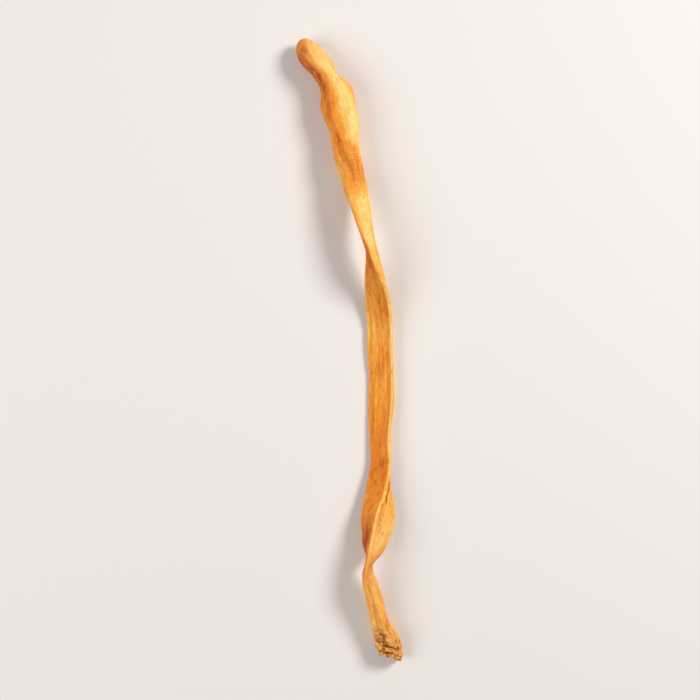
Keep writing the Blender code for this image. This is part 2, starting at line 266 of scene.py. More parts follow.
# How deep each kind of wrinkle runs, in millimetres.
LUMP_DEPTH = (
    (0, 0.12), (19, 0.12), (23, 0.04), (60, 0.035), (68, 0.06), (80, 0.08),
    (87, 0.14), (91.4, 0.3),
)
FOLD_DEPTH = (
    (0, 0.05), (14, 0.07), (19, 0.1), (23, 0.03), (31, 0.03), (38, 0.05),
    (52, 0.05), (60, 0.035), (70, 0.045), (80, 0.08), (87, 0.09), (91.4, 0.2),
)
STREAK_DEPTH = (
    (0, 0.02), (20, 0.03), (24, 0.012), (30, 0.02), (38, 0.038), (54, 0.036),
    (60, 0.02), (70, 0.02), (80, 0.04), (91.4, 0.08),
)
CROSS_DEPTH = (
    (0, 0.03), (20, 0.04), (26, 0.03), (34, 0.015), (44, 0.03), (49, 0.05),
    (54, 0.025), (61, 0.03), (66, 0.015), (80, 0.03), (91.4, 0.06),
)
CURL_DEPTH = ((0, 0.0), (86, 0.0), (88, 0.05), (89.5, 0.09), (91.4, 0.13))
ROUGH_DEPTH = ((0, 0.01), (84, 0.01), (87, 0.04), (89, 0.08), (91.4, 0.15))
GRAIN_DEPTH = 0.02
WARP_REACH = 0.35

# How much of the relief the very tip and the edges keep, how far from the tip all of it is
# there, and how much more of it the underside has.
TIP_RELIEF, TIP_CALM = 0.2, 1.4
EDGE_RELIEF = 0.4
MORE_UNDERNEATH = 0.8

# Where the base sets in, as distances from the tip between which it fades in: its rough edges,
# and the dark pits between its curls.
ROUGH_BASE = (84, 88)
CURLED_BASE = (86, 89.5)

# Kinds of smooth noise: waves a millimetre along each of three axes, and a seed. Where they are
# read on the flesh, the third axis runs down the strand.
LUMPS = (0.45, 0.45, 0.3, 1)
WARP = (0.3, 0.3, 0.25, 2)
FOLDS, WIDE_FOLDS = (0.8, 0.8, 0.11, 3), (0.6, 0.6, 0.13, 9)
STREAKS, FINE_STREAKS = (2.6, 2.6, 0.12, 4), (4.5, 4.5, 0.35, 5)
CROSS_PATCHES, CROSS_WRINKLES = (0.35, 0.35, 0.2, 6), (1.3, 1.3, 3.0, 7)
CURLS = (1.6, 1.6, 1.7, 17)
ROUGHNESS, FINE_ROUGHNESS = (1.3, 1.3, 0.9, 13), (2.8, 2.8, 2.2, 14)
GRAIN = (3.6, 3.6, 3.0, 8)
BEADS, FINE_BEADS = (0.5, 0.5, 0.7, 11), (1, 1, 2.4, 12)
SLIT_EDGE = (0.1, 0.1, 2.2, 18)
TONE_PATCHES, TONE_BORDER = (0.32, 0.32, 0.16, 51), (0.6, 0.6, 0.3, 53)
TIP_BORDER, BASE_BORDER = (0.7, 0.7, 0.4, 42), (0.8, 0.8, 0.5, 41)
RAGS, SMALL_RAGS, TINY_RAGS = (0.5, 0.5, 0.1, 31), (1.2, 1.2, 0.2, 32), (3.2, 3.2, 0.3, 33)
TORN_LUMPS, TORN_GRAIN = (0.8, 0.3, 0.8, 21), (1.9, 0.5, 1.9, 22)
CRUMB_LUMPS, CRUMB_GRAIN = (1.1, 1.1, 1.1, 61), (2.6, 2.6, 2.6, 62)
SHRED_RUFFLE = (2.0, 2.0, 2.0, 71)
SEED_STEPS = (13.7, 7.1, 3.3)

# How pale the flesh is, 0 deep orange to 1 pale yellow, at six places round the section. It is
# partly the flesh's own two tones and partly painted light: painted shade on the left edge and the
# orange face, deepest 3 to 6 mm from the tip, painted highlight on the pale face and right edge,
# and painted shade on the right edge 76 to 78 mm from the tip.
RIDGE_TONE = (
    (0, 0.4), (2, 0.35), (5, 0.45), (6.5, 0.6), (8, 0.55), (11, 0.32), (13.5, 0.4),
    (14.8, 0.2), (16.5, 0.2), (18, 0.3), (20, 0.35), (23, 0.75), (27, 0.8), (29.5, 0.6),
    (32, 0.45), (35, 0.45), (38, 0.35), (46, 0.38), (58, 0.25), (65, 0.15), (68, 0.5),
    (72, 0.65), (76, 0.6), (80, 0.45), (83, 0.42), (86, 0.72), (91.4, 0.4),
)
PALE_TONE = (
    (0, 0.8), (2, 0.85), (5, 0.88), (7, 0.92), (9, 0.92), (13, 0.78), (15.3, 0.85),
    (16.1, 0.4), (19.5, 0.24), (21.5, 0.4), (23.5, 0.8), (26, 1.05), (29.5, 1.0), (32, 0.8),
    (35, 0.65), (40, 0.6), (62, 0.6), (66, 0.55), (69, 0.62), (75, 0.6), (78, 0.42),
    (82, 0.6), (86, 0.42), (91.4, 0.3),
)
RIGHT_TONE = (
    (0, 0.7), (3, 0.65), (5, 0.1), (7, 0.2), (9, 0.55), (11, 0.7), (14, 0.6),
    (17, 0.85), (17.9, 0.25), (19.3, 0.12), (21.2, 0.12), (22.3, 0.65), (26, 0.85),
    (29, 0.65), (31, 0.4), (33, 0.45), (36, 0.55), (40, 0.7), (60, 0.7), (64, 0.4),
    (66, 0.4), (69, 0.65), (71, 0.7), (74, 0.45), (76, 0.1), (78, 0.1), (80, 0.5),
    (83, 0.35), (87, 0.6), (91.4, 0.5),
)
UNDER_TONE = ((0, 0.4), (20, 0.4), (32, 0.5), (50, 0.35), (72, 0.4), (91.4, 0.4))
LEFT_TONE = (
    (0, 0.2), (3, 0.0), (6, 0.0), (10, 0.15), (13, 0.3), (17, 0.5), (20, 0.85),
    (24, 0.65), (27, 0.6), (29, 0.4), (31.5, 0.1), (34, 0.35), (38, 0.5), (41, 0.65),
    (46, 0.5), (60, 0.3), (66, 0.28), (70, 0.2), (74, 0.12), (77, 0.42), (80, 0.68),
    (84, 0.8), (87, 0.85), (91.4, 0.5),
)
ORANGE_TONE = (
    (0, 0.2), (3, 0.0), (6, 0.0), (8, 0.2), (11, 0.4), (14, 0.6), (17, 0.35),
    (20, 0.6), (23, 0.45), (27, 0.65), (29, 0.4), (31.5, 0.05), (34, 0.2), (38, 0.42),
    (42, 0.5), (47, 0.5), (53, 0.42), (60, 0.22), (63, 0.12), (66, 0.2), (70, 0.16),
    (74, 0.1), (77, 0.35), (80, 0.45), (83, 0.5), (87, 0.72), (91.4, 0.4),
)

# How sharply the tones change at the ridge: 0 softly, towards 1 at once.
RIDGE_CONTRAST = (
    (0, 0.4), (28, 0.4), (31, 0.75), (36, 0.7), (60, 0.65), (66, 0.8), (76, 0.75),
    (80, 0.4), (91.4, 0.4),
)

# How strongly the flesh is streaked.
STREAKINESS = (
    (0, 0.2), (14, 0.25), (18, 0.45), (24, 0.2), (30, 0.35), (36, 0.85), (46, 0.9),
    (50, 0.6), (54, 0.4), (60, 0.3), (68, 0.3), (76, 0.35), (82, 0.45), (88, 0.7),
    (91.4, 0.8),
)

# How far the tones wander, how far their borders do in millimetres, and how much paler rims are,
# partly their own paler colour and partly painted highlight.
TONE_WANDER, BORDER_WANDER = 0.22, 0.9
RIM_PALING = 0.5

# How tan the flesh is at the tip, on the stem and at the base, the distances from the tip
# between which that fades out or in, and how far those borders wander.
TIP_TAN, STEM_TAN, BASE_TAN = 0.45, 0.45, 0.25
TIP_TAN_ENDS, STEM_TAN_STARTS, BASE_TAN_STARTS = (1, 7), (68, 74), (86, 88)
TIP_WANDER, BASE_WANDER = 1.5, 1.2

# How brown the stain at the base is, where it fades in, and the most that stains add up to.
BASE_STAIN, MOST_STAIN = 1.2, 1.4
STAINED_BASE = (87.5, 92)

# The height, in millimetres, at which flesh counts as fully raised.
RAISED_HEIGHT = 0.14

# Colours of the flesh, as linear values
DARK_RED = (0.30, 0.045, 0.004, 1)
RED_ORANGE = (0.46, 0.085, 0.006, 1)
DEEP_ORANGE = (0.64, 0.165, 0.012, 1)
ORANGE = (0.78, 0.265, 0.024, 1)
YELLOW_ORANGE = (0.86, 0.395, 0.058, 1)
PALE_YELLOW = (0.91, 0.60, 0.20, 1)
BUTTER = (0.94, 0.68, 0.29, 1)
BROWN = (0.13, 0.045, 0.01, 1)
RUSSET = (0.30, 0.10, 0.02, 1)
DARK_BROWN = (0.045, 0.014, 0.004, 1)
TAN = (0.78, 0.43, 0.13, 1)
CREAM = (0.85, 0.63, 0.30, 1)
# The red stops below deep orange show the darkest streaks and the painted shade in creases.
FLESH_STOPS = (
    (0, DARK_RED), (0.2, RED_ORANGE), (0.29, DEEP_ORANGE), (0.47, ORANGE), (0.68, YELLOW_ORANGE),
    (0.9, PALE_YELLOW), (1, BUTTER),
)
MARK_STOPS = ((0, BROWN), (0.5, BROWN), (1, DARK_BROWN))
CRUMB_STOPS = ((0, BROWN), (0.35, DEEP_ORANGE), (0.6, TAN), (1, CREAM))

# Patterns in the colours: waves a millimetre, detail and roughness. Three are drawn out along
# the flesh.
STREAK_PATTERN, STREAK_DRAWN = (4.2, 3.0, 0.6), (1, 1, 0.14)
MOTTLE_PATTERN, MOTTLE_DRAWN = (1.3, 5.0, 0.65), (1, 1, 0.6)
FLECK_PATTERN, FLECK_DRAWN = (3.4, 2.0, 0.6), (1, 1, 0.4)
GRAIN_PATTERN, CRUST_PATTERN = (9.0, 3.0, 0.7), (3.4, 5.0, 0.7)
DOT_PATTERN, CRUMB_PATTERN = (5.4, 1.0, 0.55), (6.0, 4.0, 0.65)

# How much the relief and each pattern sway the tone. The relief's sway is painted light:
# painted shade in creases and painted highlight on crests.
RAISED_SWAY, STREAK_SWAY, MOTTLE_SWAY, FLECK_SWAY, GRAIN_SWAY = 0.2, 0.95, 0.5, 0.55, 0.4

# What the tone, the crust and the dots are multiplied by, and what is then added: the tone's
# place on the ramp of colours, and how thick and sharp the others stand.
TONE_TO_RAMP, CRUST_TO_STAIN, DOT_EDGE = (0.72, 0.2), (6, -2.7), (6, -4.4)
STAIN_STRENGTH, DOT_DARKNESS, MARK_DARKNESS = 0.8, 0.5, 0.9

# Round specks strewn over all of the flesh: cells a millimetre, a speck's radius in cells, the
# share of cells that have none, and how dark they are.
SPECK_CELLS, SPECK_RADIUS, SPECKLESS, SPECK_DARKNESS = 1.9, 0.08, 0.6, 0.6

# What hangs on the torn base: rows are counted from its rim, down into the torn end. Every
# third crumb sits in the pitted patch on the top.
CRUMB_COUNT = 80
CRUMB_RADIUS = (0.05, 0.15)
CRUMB_ROWS, PATCH_ROWS, PATCH_COLUMNS = (-10, TORN_RINGS - 4), (-8, 6), (4, 44)
CRUMB_STRETCH = (0.35, 1.4)
CRUMB_LIFT = 0.2
SHRED_COUNT = 30
SHRED_ROWS = (-5, 4)
SHRED_LENGTH = (0.1, 0.34)
SHRED_WIDTH = (0.12, 0.32)
SHRED_THICKNESS = 0.05
SHRED_CURL = (-0.7, 0.2)
SHRED_LEAN, SHRED_SCATTER = 0.1, 0.15
SHRED_SUNK, SHRED_SET_BACK = 0.1, 0.25
RUFFLE_HEIGHT = 0.12
SHRED_SIDES, SHRED_RINGS = 10, 14

# The stage: sizes in metres, and each lamp's place, size, power and colour
FLOOR_SIZE, FLOOR_DROP = 4, 0.00002
FLOOR_COLOUR = (0.77, 0.745, 0.73, 1)
KEY_LAMP = ((0.32, 0.18, 0.28), 0.16, 1.88, (1.0, 0.97, 0.92))
FILL_LAMP = ((-0.30, -0.05, 0.25), 0.30, 0.85, (1.0, 0.95, 0.91))
SKY_COLOUR, SKY_STRENGTH = (1.0, 0.98, 0.96, 1), 0.3
LENS, SENSOR_WIDTH = 100, 36


def along(line, distance):
    """A smooth curve through a line's (distance, value) points, read at each distance."""
    places, values = np.array(line).T
    slopes = np.gradient(values, places)
    i = np.clip(np.searchsorted(places, distance, side="right") - 1, 0, len(places) - 2)
    step = places[i + 1] - places[i]
    t = (distance - places[i]) / step
    start = (2 * t**3 - 3 * t**2 + 1) * values[i] + (t**3 - 2 * t**2 + t) * step * slopes[i]
    end = (3 * t**2 - 2 * t**3) * values[i + 1] + (t**3 - t**2) * step * slopes[i + 1]
    return start + end


def level(line, distance):
    """A line's value at each distance, read straight between its (distance, value) points."""
    return np.interp(distance, *np.array(line).T)


def smooth(value, low, high):
    """0 below low, 1 above high, and a smooth rise between."""
    t = np.clip((value - low) / (high - low), 0, 1)
    return t * t * (3 - 2 * t)


def field(places, kind):
    """Smooth noise, about -1 to 1, at places in millimetres, of a kind of waves and a seed."""
    *waves, seed = kind
    shift = Vector([seed * step for step in SEED_STEPS])
    flat = (places * np.array(waves)).reshape(-1, 3).tolist()
    values = [noise.noise(Vector(place) + shift) for place in flat]
    return np.array(values).reshape(places.shape[:-1])


def eased(line, distance):
    """A line's curve averaged over the stretch of strand round each distance."""
    shifts = np.linspace(-EASE, EASE, EASE_SAMPLES)[:, None]
    return along(line, np.clip(distance + shifts, 0, LENGTH)).mean(0)


def section_corners(distance):
    """The eight control points (x, z) of each ring's section, from the left edge over the top."""
    left, right = along(LEFT_EDGE, distance), along(RIGHT_EDGE, distance)
    ridge, ridge_z = along(RIDGE, distance), along(RIDGE_HEIGHT, distance)
    left_z, right_z = along(LEFT_HEIGHT, distance), along(RIGHT_HEIGHT, distance)
    under_z = along(UNDERSIDE, distance)
    inset = along(UNDERSIDE_INSET, distance) * (right - left)
    orange = face_middle(left, left_z, ridge, ridge_z, along(ORANGE_SWELL, distance))
    beside = eased(RIGHT_EDGE, distance)
    pale = face_middle(ridge, ridge_z, beside, right_z, along(PALE_SWELL, distance))
    hollow = along(UNDERSIDE_HOLLOW, distance)
    corners = [
        (left, left_z), orange, (ridge, ridge_z), pale, (right, right_z),
        (right - inset, under_z), ((left + right) / 2, under_z + hollow), (left + inset, under_z),
    ]
    return np.array(corners).transpose(2, 0, 1)


def face_middle(x0, z0, x1, z1, swell):
    """The middle of the line between two edges, moved outwards by swell."""
    length = np.hypot(x1 - x0, z1 - z0)
    return (x0 + x1) / 2 - (z1 - z0) / length * swell, (z0 + z1) / 2 + (x1 - x0) / length * swell


def rounded(corners, columns):
    """A closed cubic B-spline round each ring's control points, fitted to their box."""
    count = corners.shape[1]
    neighbours = (np.roll(corners, 1, axis=1) + np.roll(corners, -1, axis=1)) / 2
    pulled = corners + CORNER_PULL * (corners - neighbours)
    place = np.arange(columns) * count / columns
    i = place.astype(int)
    t = (place - i)[None, :, None]
    before, here, after, last = (pulled[:, (i + k) % count] for k in (-1, 0, 1, 2))
    ring = (1 - t) ** 3 * before + (3 * t**3 - 6 * t**2 + 4) * here
    ring = (ring + (-3 * t**3 + 3 * t**2 + 3 * t + 1) * after + t**3 * last) / 6
    low, high = ring.min(1, keepdims=True), ring.max(1, keepdims=True)
    box_low, box_high = corners.min(1, keepdims=True), corners.max(1, keepdims=True)
    return box_low + (ring - low) / (high - low) * (box_high - box_low)


def oval(rings, share):
    """Draws each ring towards the oval that fills its box, by its share."""
    low, high = rings.min(1, keepdims=True), rings.max(1, keepdims=True)
    centre, half = (low + high) / 2, (high - low) / 2
    reach = (rings - centre) / half
    reach /= np.linalg.norm(reach, axis=2, keepdims=True)
    return rings + share[:, None, None] * (centre + reach * half - rings)


def smooth_form():
    """The strand before it wrinkles, as a grid of rings down its length. Returns each point,
    its place round the section and its arc length from the ridge, and each ring's girth and
    distance from the tip."""
    turn = np.linspace(FIRST_TURN, math.pi / 2, TIP_RINGS)
    distance = np.concatenate(
        [TIP_CAP * (1 - np.cos(turn)), np.linspace(TIP_CAP, LENGTH, BODY_RINGS + 1)[1:]]
    )
    rings = rounded(section_corners(distance), SECTION_SAMPLES)
    rings = oval(rings, np.clip(1 - distance / TIP_OVAL, 0, 1))
    rings = np.roll(rings, -SECTION_SAMPLES // 4, axis=1)
    rings = np.concatenate([rings, rings[:, :1]], axis=1)
    centre = (rings.min(1, keepdims=True) + rings.max(1, keepdims=True)) / 2
    cap = np.sqrt(1 - (1 - np.minimum(distance / TIP_CAP, 1)) ** 2)
    rings = centre + (rings - centre) * cap[:, None, None]
    steps = np.linalg.norm(np.diff(rings, axis=1), axis=2)
    lengths = np.concatenate([np.zeros((len(rings), 1)), np.cumsum(steps, axis=1)], axis=1)
    samples = np.linspace(0, PLACES, SECTION_SAMPLES + 1)
    girth = lengths[:, -1:]
    arc = np.arange(COLUMNS) / COLUMNS * girth
    x, z, place = (np.empty(arc.shape) for _ in range(3))
    for i in range(len(rings)):
        x[i] = np.interp(arc[i], lengths[i], rings[i, :, 0])
        z[i] = np.interp(arc[i], lengths[i], rings[i, :, 1])
        place[i] = np.interp(arc[i], lengths[i], samples)
    distance = distance[:, None]
    across = (x - centre[:, :, 0]) / np.ptp(x, axis=1)[:, None]
    torn = np.clip((distance - (LENGTH - TORN_LENGTH)) / TORN_LENGTH, 0, 1)
    y = LENGTH / 2 - distance + BASE_SLANT * torn * (0.5 - across)
    return np.stack([x, y, z], axis=-1), place, arc, girth, distance


def normals_of(points):
    """Outward normals of a grid of rings."""
    around = np.roll(points, -1, axis=1) - np.roll(points, 1, axis=1)
    down = np.gradient(points, axis=0)
    normal = np.cross(down, around)
    normal /= np.maximum(np.linalg.norm(normal, axis=-1, keepdims=True), 1e-9)
    outward = points - points.mean(1, keepdims=True)
    return normal * np.sign((normal * outward).sum())


def arc_from(at, place, arc, girth):
    """The shorter way round the section, in millimetres, from a place to each point."""
    start = np.array([np.interp(at, places, arcs) for places, arcs in zip(place, arc)])
    away = np.abs(arc - start[:, None])
    return np.minimum(away, girth - away)


def tone_of(place, arc, girth, distance, flesh):
    """How pale each point is: blended between six lines down the strand, and pale on rims. Besides
    the flesh's own tones this holds painted light: painted shade on the left side, and painted
    highlight on the right side and on the rims.
    """
    lines = (RIDGE_TONE, PALE_TONE, RIGHT_TONE, UNDER_TONE, LEFT_TONE, ORANGE_TONE, RIDGE_TONE)
    contrast = level(RIDGE_CONTRAST, distance)
    wavy = distance + BORDER_WANDER * field(flesh, TONE_BORDER)
    starts = (0, 1, RIGHT_PLACE, UNDER_PLACE, LEFT_PLACE, ORANGE_PLACE + contrast)
    ends = (1 - contrast, RIGHT_PLACE, UNDER_PLACE, LEFT_PLACE, ORANGE_PLACE, PLACES)
    tones = [level(line, wavy) for line in lines]
    tone = tones[0] + 0 * place
    for k in range(len(starts)):
        tone = tone + (tones[k + 1] - tones[k]) * smooth(place, starts[k], ends[k])
    tone += TONE_WANDER * field(flesh, TONE_PATCHES)
    # Rims are paled, partly as painted highlight.
    for at, width, height in RIMS:
        rim = np.exp(-((arc_from(at, place, arc, girth) / width) ** 2))
        rim = rim * np.clip(level(height, distance) / PALE_RIM, 0, 1)
        tone += (1 - tone) * RIM_PALING * rim
    return np.clip(tone, 0, 1)


def path_profile(path, width, fade, points, distance, power=2):
    """1 on a path seen from above, falling to 0 beside it. A higher power has steeper sides."""
    start, end = path[0][0], path[-1][0]
    inside = smooth(distance, start - fade / 2, start + fade / 2)
    inside = inside * (1 - smooth(distance, end - fade / 2, end + fade / 2))
    middle = along(path, np.clip(distance, start, end))
    return inside * np.exp(-(np.abs((points[:, :, 0] - middle) / width) ** power))


def spot_profile(spot, points, distance):
    """1 in the middle of a spot seen from above, falling to 0 beyond its reach."""
    down, across, reach, width = spot
    far = ((distance - down) / reach) ** 2 + ((points[:, :, 0] - across) / width) ** 2
    return np.exp(-far)


def features(points, up, place, arc, girth, distance, flesh):
    """The listed relief: its height, and how dark its slits and dents are (0 to 1)."""
    height, marks = np.zeros(up.shape), np.zeros(up.shape)
    for path, width, rise, fade in LINES:
        height += rise * up * path_profile(path, width, fade, points, distance)
    for *spot, rise in SPOTS:
        profile = up * spot_profile(spot, points, distance)
        height += rise * profile
        # A dent gets painted shade, darker the deeper it is.
        marks = np.maximum(marks, np.clip(-DENT_DARKNESS * rise, 0, 1) * profile**2)
    beads = 0.9 + 0.15 * field(flesh, BEADS) + 0.1 * field(flesh, FINE_BEADS)
    for at, width, rim_height in RIMS:
        rim = np.exp(-((arc_from(at, place, arc, girth) / width) ** 2))
        height += level(rim_height, distance) * beads * rim
    ragged = 0.85 + 0.5 * field(flesh, SLIT_EDGE)
    for path, width, depth, fade in SLITS:
        cut = up * path_profile(path, width * ragged, fade, points, distance, power=4)
        height -= depth * cut
        # The slit's dark middle is painted shade.
        marks = np.maximum(marks, np.clip(SLIT_DARKNESS * cut, 0, 1))
    return height, marks


def wrinkles(tone, flat, under, distance, flesh):
    """The random relief: slow lumps, the finer wrinkles, which the material also reads for
    painted shade in their creases and painted highlight on their crests, and how dark the painted
    shade in the hollows between the base's curls is. Edges that are not flat stay calmer."""
    below = 1 + MORE_UNDERNEATH * under
    calm = np.maximum(EDGE_RELIEF + (1 - EDGE_RELIEF) * flat, smooth(distance, *ROUGH_BASE))
    lumps = level(LUMP_DEPTH, distance) * field(flesh, LUMPS) * below
    wave = flesh + WARP_REACH * field(flesh, WARP)[:, :, None]
    folds = 0.6 - 3.2 * np.abs(field(wave, FOLDS))
    folds += 2.4 * np.abs(field(wave, WIDE_FOLDS)) - 0.4
    streaks = field(wave, STREAKS) + 0.6 * field(wave, FINE_STREAKS)
    patches = smooth(field(flesh, CROSS_PATCHES), -0.1, 0.35)
    cross = field(flesh, CROSS_WRINKLES) * patches
    curls = 1 - 4 * np.abs(field(wave, CURLS))
    rough = field(flesh, ROUGHNESS) + 0.6 * field(flesh, FINE_ROUGHNESS)
    fine = level(FOLD_DEPTH, distance) * folds * below * (1.5 - tone)
    fine += level(STREAK_DEPTH, distance) * streaks * below
    fine += level(ROUGH_DEPTH, distance) * rough + level(CROSS_DEPTH, distance) * cross
    fine += level(CURL_DEPTH, distance) * curls
    # The hollows between the base's curls get painted shade.
    hollows = smooth(-curls, 0.2, 0.9) * smooth(distance, *CURLED_BASE)
    return lumps, fine * calm + GRAIN_DEPTH * field(flesh, GRAIN), hollows


def pits(flesh, distance):
    """Random pits: how deep each point is sunk, and how dark a mark the pit leaves (0 to 1)."""
    random = np.random.default_rng(5)
    dents, marks = np.zeros(flesh.shape[:2]), np.zeros(flesh.shape[:2])
    density = level(PIT_DENSITY, distance[:, 0])
    rows = random.choice(len(flesh), PIT_COUNT, p=density / density.sum())
    columns = random.integers(0, flesh.shape[1], PIT_COUNT)
    for row, column in zip(rows, columns):
        radius = random.uniform(*PIT_RADIUS)
        near = np.abs(distance[:, 0] - distance[row, 0]) < 4 * radius
        offset = (flesh[near] - flesh[row, column]) / (1, 1, random.uniform(*PIT_STRETCH))
        dent = np.exp(-(np.linalg.norm(offset, axis=-1) / radius) ** 2)
        dents[near] += random.uniform(*PIT_DEPTH) * radius * dent
        marks[near] = np.maximum(marks[near], random.uniform(*PIT_DARKNESS) * dent**2)
    return dents, marks


def torn_end(rim):
    """Rings that run in from the base's rim to a rough hollow."""
    centre = rim.mean(0)
    rings = []
    for k in range(1, TORN_RINGS + 1):
        share = k / (TORN_RINGS + 1)
        ring = centre + (rim - centre) * (1 - share)
        rough = field(ring, TORN_LUMPS) + 0.8 * field(ring, TORN_GRAIN)
        ring[:, 1] += END_HOLLOW * math.sin(share * math.pi / 2) + 0.8 * math.sqrt(share) * rough
        rings.append(ring)
    return np.array(rings)


def with_end(values, inside):
    """A grid of values on the flesh, with one value for all of the torn end added."""
    return np.concatenate([values, np.full((TORN_RINGS, COLUMNS), inside)])


def painted(tone, raised, marks, speckled, stain_and_shade, flesh, distance):
    """What the material reads at each point, under the names that it goes by there."""
    tip_edge = distance + TIP_WANDER * field(flesh, TIP_BORDER)
    base_edge = distance + BASE_WANDER * field(flesh, BASE_BORDER)
    tan = TIP_TAN * (1 - smooth(tip_edge, *TIP_TAN_ENDS)) * (0.35 + 0.65 * tone)
    tan += BASE_TAN * smooth(base_edge, *BASE_TAN_STARTS)
    stem = smooth(distance, *STEM_TAN_STARTS) * (1 - smooth(distance, *BASE_TAN_STARTS))
    tan = tan + STEM_TAN * tone * stem
    base_stain = BASE_STAIN * smooth(base_edge, *STAINED_BASE)
    return {
        "tone": with_end(tone, 0.5),
        "raised": with_end(np.clip(raised / RAISED_HEIGHT, -1, 1), 0.1),
        "marks": with_end(np.clip(marks, 0, 1), 0.1),
        "speckled": with_end(np.clip(speckled, 0, 1), 0.6),
        "stain_and_shade": with_end(np.clip(base_stain + stain_and_shade, 0, MOST_STAIN), BASE_STAIN),
        "tan": with_end(tan, 0.5),
        "streaky": with_end(level(STREAKINESS, distance) + 0 * tone, 0.6),
    }


def build_body():
    """The whole strand as one closed mesh, with the attributes that its material reads.
    Returns it, and its points and normals, which the crumbs and shreds are set on."""
    points, place, arc, girth, distance = smooth_form()
    turn, radius = 2 * math.pi * arc / girth, girth / (2 * math.pi)
    flesh = np.stack([radius * np.cos(turn), radius * np.sin(turn), distance + 0 * turn], axis=-1)
    normal = normals_of(points)
    up = smooth(normal[:, :, 2], 0.0, 0.4)
    under = smooth(-normal[:, :, 2], 0.0, 0.5)
    flat = smooth(np.abs(normal[:, :, 2]), 0.0, 0.5)
    tone = tone_of(place, arc, girth, distance, flesh)
    drawn, marks = features(points, up, place, arc, girth, distance, flesh)
    speckled = sum(thick * spot_profile(spot, points, distance) for *spot, thick in SPECKLED)
    # Three of these patches are painted shade, not stains.
    stain_and_shade = sum(thick * spot_profile(spot, points, distance) for *spot, thick in STAINS_AND_SHADE) * up
    lumps, fine, hollows = wrinkles(tone, flat, under, distance, flesh)
    dents, pit_marks = pits(flesh, distance)
    # marks holds painted shade in dents, the slit and the curls' hollows, and the pits' own dark
    # marks; raised tints the flesh with painted shade in creases and painted highlight on crests.
    raised, marks = drawn * 0.8 + fine - dents, marks + pit_marks + 0.6 * hollows
    values = painted(tone, raised, marks, speckled * up, stain_and_shade, flesh, distance)
    share = TIP_RELIEF + (1 - TIP_RELIEF) * smooth(distance, 0, TIP_CALM)
    points = points + normal * ((drawn + lumps + fine - dents) * share)[:, :, None]
    near_end = smooth(distance, LENGTH - RAGGED_LENGTH, LENGTH)
    ragged = 0.6 * field(flesh, RAGS) + 0.4 * field(flesh, SMALL_RAGS)
    ragged += 0.25 * field(flesh, TINY_RAGS)
    points[:, :, 1] += near_end * ragged
    shoulder = np.exp(-(((distance - SHOULDER) / SHOULDER_REACH) ** 2))
    points[:, :, 1] += SHOULDER_LEAN * shoulder * (points[:, :, 2] - along(RIGHT_HEIGHT, distance))
    points[:, :, 2] = np.maximum(points[:, :, 2], 0)
    inner = torn_end(points[-1])
    points = np.concatenate([points, inner])
    low, high = points[:, :, :2].min((0, 1)), points[:, :, :2].max((0, 1))
    middle = (np.array(cad_low + cad_high) / 2 / MILLIMETRE)[:2]
    points[:, :, :2] += middle - (low + high) / 2
    flesh = np.concatenate([flesh, inner * np.array((1, 0.4, 1))])
    return grid_mesh("strand", points, values, flesh), points, normals_of(points)


def placed(name, data):
    """A new object in the scene that shows a mesh, lamp or camera."""
    made = bpy.data.objects.new(name, data)
    bpy.context.scene.collection.objects.link(made)
    return made


def store(mesh, name, values):
    """Stores a number, or a vector, for each point of a mesh, under a name."""
    values = np.array(values, dtype=np.float32)
    kind, key = ("FLOAT", "value") if values.ndim == 1 else ("FLOAT_VECTOR", "vector")
    mesh.attributes.new(name, kind, "POINT").data.foreach_set(key, values.ravel())


def grid_mesh(name, points, values, flesh):
    """A mesh object from a grid of closed rings, shut by a fan of triangles at each end. Its
    skin is laid out flat in strips side by side, for the maps that are baked on it."""
    count, columns = points.shape[:2]
    ends = np.array([points[0].mean(0), points[-1].mean(0)])
    vertices = np.concatenate([points.reshape(-1, 3), ends]) * MILLIMETRE
    i, j = np.meshgrid(np.arange(count - 1), np.arange(columns), indexing="ij")
    after = (j + 1) % columns
    quads = [i * columns + j, (i + 1) * columns + j, (i + 1) * columns + after, i * columns + after]
    quads = np.stack(quads, axis=-1).reshape(-1, 4)
    tip, base, last = count * columns, count * columns + 1, (count - 1) * columns
    fans = [(tip, k, (k + 1) % columns) for k in range(columns)]
    fans += [(base, last + (k + 1) % columns, last + k) for k in range(columns)]
    mesh = bpy.data.meshes.new(name)
    mesh.from_pydata(vertices.tolist(), [], quads.tolist() + fans)
    for key, grid in values.items():
        store(mesh, key, np.concatenate([grid.ravel(), [grid[0].mean(), grid[-1].mean()]]))
    flesh_ends = [flesh[0].mean(0), flesh[-1].mean(0)]
    store(mesh, "flesh_place", np.concatenate([flesh.reshape(-1, 3), flesh_ends]))
    lay_out(mesh, count, columns)
    mesh.shade_smooth()
    return placed(name, mesh)


